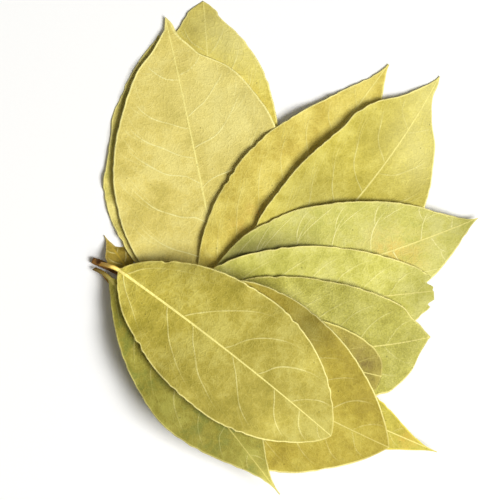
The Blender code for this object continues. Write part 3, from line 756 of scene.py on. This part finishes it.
LEAVES = {
    # leaf_01's colours, its rim and midrib too, are darker than the others, partly painted shade.
    "leaf_01": {"tone": "#a08a35", "dark": "#7f6a22", "pale": "#b39a40",
                "left": (0.2, 0.5), "right": (0.2, 0.5), "strength": 0.5,
                "rim": "#c4ac5c", "rib": "#c4a83e", "bites": ((0.85, -1, 2.2, 4.5),)},
    # Its light near the left margin is painted light, taking back the shadow leaf_04 casts there.
    "leaf_02": {"tone": "#cdbf62", "dark": "#b0a850", "pale": "#dccf7c",
                "lights": ((0.46, 0.9, 13.0, 0.22),),
                "bites": ((0.60, 1, 1.4, 8.0), (0.77, 1, -0.6, 6.0), (0.90, 1, -1.3, 6.5))},
    # Its dark mark on the left half is painted shade on the side of a fold turned from the lamp,
    # and its pale mark paints light on the right half that faces it.
    "leaf_03": {"tone": "#d9c654", "dark": "#c3b042", "pale": "#e8d96a", "strength": 0.6,
                "bleach_and_lit_marks": ((0.86, -0.75, 12.0, 0.6),), "lights": ((0.90, 0.5, 10.0, -0.26),),
                "bites": ((0.80, -1, -0.9, 12.0), (0.93, 1, -1.0, 4.0), (0.95, -1, 0.8, 5.0),
                          (0.975, 1, -1.0, 1.9), (0.975, -1, -1.2, 1.9))},
    "leaf_04": {"tone": "#dcca6c", "dark": "#ccbb5d", "pale": "#e7d880",
                "left": (0.05, 0.18, 0.30, 0.435, 0.52, 0.62, 0.784),
                "right": (0.04, 0.16, 0.29, 0.42, 0.556, 0.66, 0.80),
                "lean": 0.42, "sweep": 0.5, "strength": 0.8, "rim": "#fff4a0", "margin": 0.8,
                "bleach_and_lit_marks": ((0.65, -0.6, 17.0, 0.34),), "drops": ((0.66, -1, -0.2, 13.0),),
                "bites": ((0.935, 1, 2.4, 6.5), (0.4, 1, -0.7, 24.0),
                          (0.895, -1, 3.3, 6.5), (0.66, -1, -1.8, 13.0))},
    "leaf_05": {"tone": "#dbc85e", "dark": "#c8b24a", "pale": "#e9d872", "strength": 0.35,
                "stains": ((0.33, 0.30, 3.5, 0.9), (0.25, 0.45, 3.0, 0.7), (0.42, -0.1, 5.0, 0.3)),
                "stain": "#c79a35", "drops": ((0.25, 1, 1.9, 18.0), (0.46, 1, 0.4, 9.0)),
                "bites": ((0.90, -1, -0.9, 8.0), (0.70, 1, 0.4, 10.0), (0.32, 1, -0.5, 14.0))},
    "leaf_06": {"tone": "#cabb4b", "dark": "#b8aa3f", "pale": "#dfd266", "strength": 0.45,
                "left": (0.06, 0.18, 0.30, 0.43, 0.55, 0.67, 0.80),
                "right": (0.05, 0.2, 0.33, 0.48, 0.63, 0.79),
                "bleach_and_lit_marks": ((0.76, -0.45, 11.0, 0.5), (0.95, -0.1, 10.0, 0.45)),
                "lights": ((0.78, -0.45, 8.0, 0.10), (0.72, 0.65, 8.0, -0.10),
                           (0.55, -0.55, 10.0, -0.14), (0.42, 0.4, 13.0, -0.26)),
                "bites": ((0.90, -1, 1.9, 6.0), (0.85, -1, 1.2, 11.0), (0.92, 1, 0.8, 6.0),
                          (0.765, 1, -1.6, 6.5), (0.4, 1, -0.7, 14.0))},
    # Its chain of dark marks along the margin of leaf_08 is painted shade from that margin; it is
    # also darker at its base and tip.
    "leaf_07": {"tone": "#d0ca66", "dark": "#c0bd5a", "pale": "#dad57e",
                "left": (0.05, 0.17, 0.31, 0.44, 0.60, 0.785, 0.90),
                "right": (0.05, 0.18, 0.32, 0.50, 0.68, 0.82), "lean": 0.38, "sweep": 0.5,
                "forks": 0.9,
                "stains": ((0.66, 0.08, 6.0, 0.7), (0.74, -0.25, 6.0, 0.4)), "stain": "#ecc860",
                "lights": ((0.08, 0.0, 18.0, -0.20), (0.95, 0.0, 11.0, -0.19),
                           (0.11, 0.8, 5.0, -0.34), (0.18, 0.68, 5.0, -0.42),
                           (0.25, 0.6, 5.0, -0.42), (0.32, 0.5, 5.0, -0.34),
                           (0.40, 0.4, 5.0, -0.24)),
                "drops": ((0.32, 1, -0.7, 12.0),),
                "bites": ((0.91, 1, 1.1, 7.0), (0.85, -1, -0.5, 7.0), (0.3, 1, -0.4, 14.0))},
    "leaf_08": {"tone": "#cdc860", "dark": "#b9b54e", "pale": "#ddd87c", "broken": 1.3,
                "strength": 0.5, "forks": 0.15,
                "drops": ((0.45, 1, -0.9, 28.0), (0.24, 1, -0.6, 12.0)),
                "lights": ((0.05, 0.0, 16.0, -0.28), (0.94, 0.0, 8.0, -0.2),
                           (0.78, 0.5, 10.0, 0.12))},
    "leaf_09": {"tone": "#bfb954", "dark": "#ada646", "pale": "#cfc96a",
                "strength": 0.4, "forks": 0.1, "grain": 2.0,
                "drops": ((0.5, 1, 2.6, 26.0), (0.33, 1, 1.2, 13.0)),
                "lights": ((0.85, -0.6, 10.0, -0.12), (0.65, 0.3, 11.0, -0.16),
                           (0.93, 0.05, 6.0, -0.10)),
                "bites": ((0.885, -1, -1.8, 5.0), (0.95, 1, 1.6, 4.0), (0.98, -1, 1.4, 2.5))},
    "leaf_10": {"tone": "#ae9f45", "dark": "#93853a", "pale": "#c0b358",
                "rim": "#f4e88c", "margin": 0.7, "vein": "#d0c46c", "strength": 0.6,
                "stains": ((0.89, 0.35, 4.5, 1.0),), "stain": "#8a7738",
                "lights": ((0.89, 0.35, 4.5, -0.12),)},
    "leaf_11": {"tone": "#c4b84a", "dark": "#b0a23a", "pale": "#d4c95e", "rim": "#ecdc5c",
                "strength": 0.35, "stains": ((0.88, -0.3, 5.0, 0.5),), "stain": "#d0a038",
                "bites": ((0.90, 1, 0.6, 8.0), (0.88, -1, -0.8, 8.0))},
    "leaf_12": {"tone": "#b5a23b", "dark": "#a28f30", "pale": "#c4b44e",
                "left": (0.06, 0.2, 0.33, 0.46, 0.6, 0.74, 0.86),
                "right": (0.06, 0.2, 0.33, 0.46, 0.6, 0.74, 0.86),
                "strength": 0.3, "forks": 0.15, "rib": "#ddd078",
                "lights": ((0.38, 0.8, 14.0, -0.14), (0.57, 0.85, 8.0, -0.42)),
                "bites": ((0.55, -1, 1.5, 12.0),)},
    "leaf_13": {"tone": "#998f38", "dark": "#848638", "pale": "#aca64b",
                "strength": 0.22, "forks": 0.15, "stalk": "#80591f",
                "rim": "#d2c878", "rib": "#cdc268",
                "lights": ((0.2, -0.5, 14.0, 0.40), (0.97, 0.0, 10.0, 0.42)),
                "bleach_and_lit_marks": ((0.97, 0.0, 10.0, 0.1),)},
    # Its large light mark at the base is painted light, making up for the base turning from the
    # lamp.
    "leaf_14": {"tone": "#b1a242", "dark": "#9f9235", "pale": "#c4b85c",
                "left": (0.03, 0.295, 0.484, 0.64, 0.80),
                "right": (0.02, 0.227, 0.34, 0.525, 0.723, 0.845, 0.93),
                "strength": 0.48, "forks": 0.15,
                "drops": ((0.12, 1, 2.6, 9.5),),
                "lights": ((0.0, 0.0, 22.0, 0.78), (0.35, 0.5, 15.0, 0.16),
                           (0.76, 0.75, 5.0, 0.12), (0.80, -0.6, 6.0, 0.14)),
                "bites": ((0.12, 1, 0.5, 0.8), (0.75, 1, -0.8, 18.0), (0.35, -1, 0.7, 20.0))},
}
for number, (name, own) in enumerate(LEAVES.items()):
    look = {**PLAIN, **own}
    leaf = put(leaf_mesh(name, number, look), name + "_blade", [leaf_material(name, look)])
    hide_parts(name)


# ---- Studio -----------------------------------------------------------------------------------
# A plain pale table top under soft daylight lamps, seen from straight above.

# In metres: the board's side, the camera's place, and the width of table top that it sees.
FLOOR_SIZE = 1.6
CAMERA_HEIGHT = 1.6
FIELD = 0.155
CAMERA_X = -0.0107
CAMERA_Y = -0.0009
# Warm light that comes back from the room, and how strong it is.
ROOM_TINT = "#fff6ce"
ROOM_LIGHT = 0.08


def make_floor():
    """Matt white painted board, larger than the view."""
    bm = bmesh.new()
    bmesh.ops.create_grid(bm, x_segments=1, y_segments=1, size=FLOOR_SIZE / 2.0)
    mesh = bpy.data.meshes.new("white_board")
    bm.to_mesh(mesh)
    bm.free()
    material, tree, shader = surface("matt_white_board")
    spot = add(tree, "TexCoord").outputs["Object"]
    tooth = add(tree, "TexNoise", {"Vector": spot, "Scale": per_mm(0.8), "Detail": 2.0})
    tone = add(tree, "MapRange", {"Value": tooth.outputs["Fac"], "To Min": 0.97, "To Max": 0.99})
    tree.links.new(tone.outputs["Result"], shader.inputs["Base Color"])
    shader.inputs["Roughness"].default_value = 0.9
    shader.inputs["Specular IOR Level"].default_value = 0.1
    mesh.materials.append(material)
    floor = bpy.data.objects.new("white_board", mesh)
    bpy.context.scene.collection.objects.link(floor)


def soft_lamp(name, place, size, watts):
    """Square soft box that faces the sprig."""
    light = bpy.data.lights.new(name, "AREA")
    light.size = size
    light.energy = watts
    lamp = bpy.data.objects.new(name, light)
    lamp.location = place
    lamp.rotation_euler = (-Vector(place)).to_track_quat("-Z", "Y").to_euler()
    bpy.context.scene.collection.objects.link(lamp)


make_floor()
soft_lamp("key_soft_box", (1.04, -0.60, 1.80), 1.00, 54.5)
soft_lamp("top_soft_box", (-0.1, 0.1, 1.4), 0.7, 1.7)

world = bpy.data.worlds.new("studio")
bpy.context.scene.world = world
world.use_nodes = True
room = world.node_tree.nodes["Background"]
room.inputs["Color"].default_value = (*linear(ROOM_TINT), 1.0)
room.inputs["Strength"].default_value = ROOM_LIGHT

lens = bpy.data.cameras.new("camera")
lens.angle = 2.0 * math.atan(FIELD / 2.0 / CAMERA_HEIGHT)
camera = bpy.data.objects.new("camera", lens)
camera.location = (CAMERA_X, CAMERA_Y, CAMERA_HEIGHT)
bpy.context.scene.collection.objects.link(camera)
bpy.context.scene.camera = camera
bpy.context.scene.view_settings.view_transform = "Standard"
